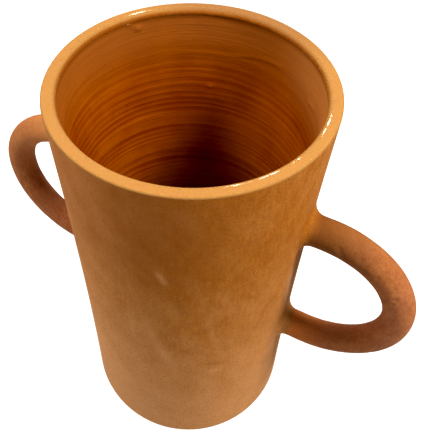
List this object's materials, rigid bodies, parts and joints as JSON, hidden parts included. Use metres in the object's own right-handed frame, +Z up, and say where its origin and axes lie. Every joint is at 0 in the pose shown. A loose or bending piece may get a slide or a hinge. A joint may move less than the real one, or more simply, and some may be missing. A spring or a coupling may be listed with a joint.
{
  "type": "two-handled vase",
  "caption": "Tall straight-sided terracotta vase with a glazed interior and a pair of large round ear handles luted to opposite sides of the wall.",
  "frame": {"origin": "centre of the flat base, on the surface that the vase stands on", "axes": "+Z up along the body's turning axis, +X towards the right handle, with both handles in the XZ plane"},
  "size_m": [0.311, 0.16, 0.307],
  "materials": {
    "terracotta": "matte fired red-orange earthenware, smoothed with a damp sponge",
    "handle_clay": "matte fired earthenware, slightly redder and more pitted than the wall",
    "clear_glaze": "clear glossy glaze over the same clay, which looks deeper and wetter"
  },
  "bodies": {
    "root": {"thrown_body": "terracotta", "glaze_lining": "clear_glaze", "handle_right": "handle_clay", "handle_left": "handle_clay", "luting_coil_upper_right": "terracotta", "luting_coil_lower_right": "terracotta", "luting_coil_upper_left": "terracotta", "luting_coil_lower_left": "terracotta"}
  },
  "joints": []
}
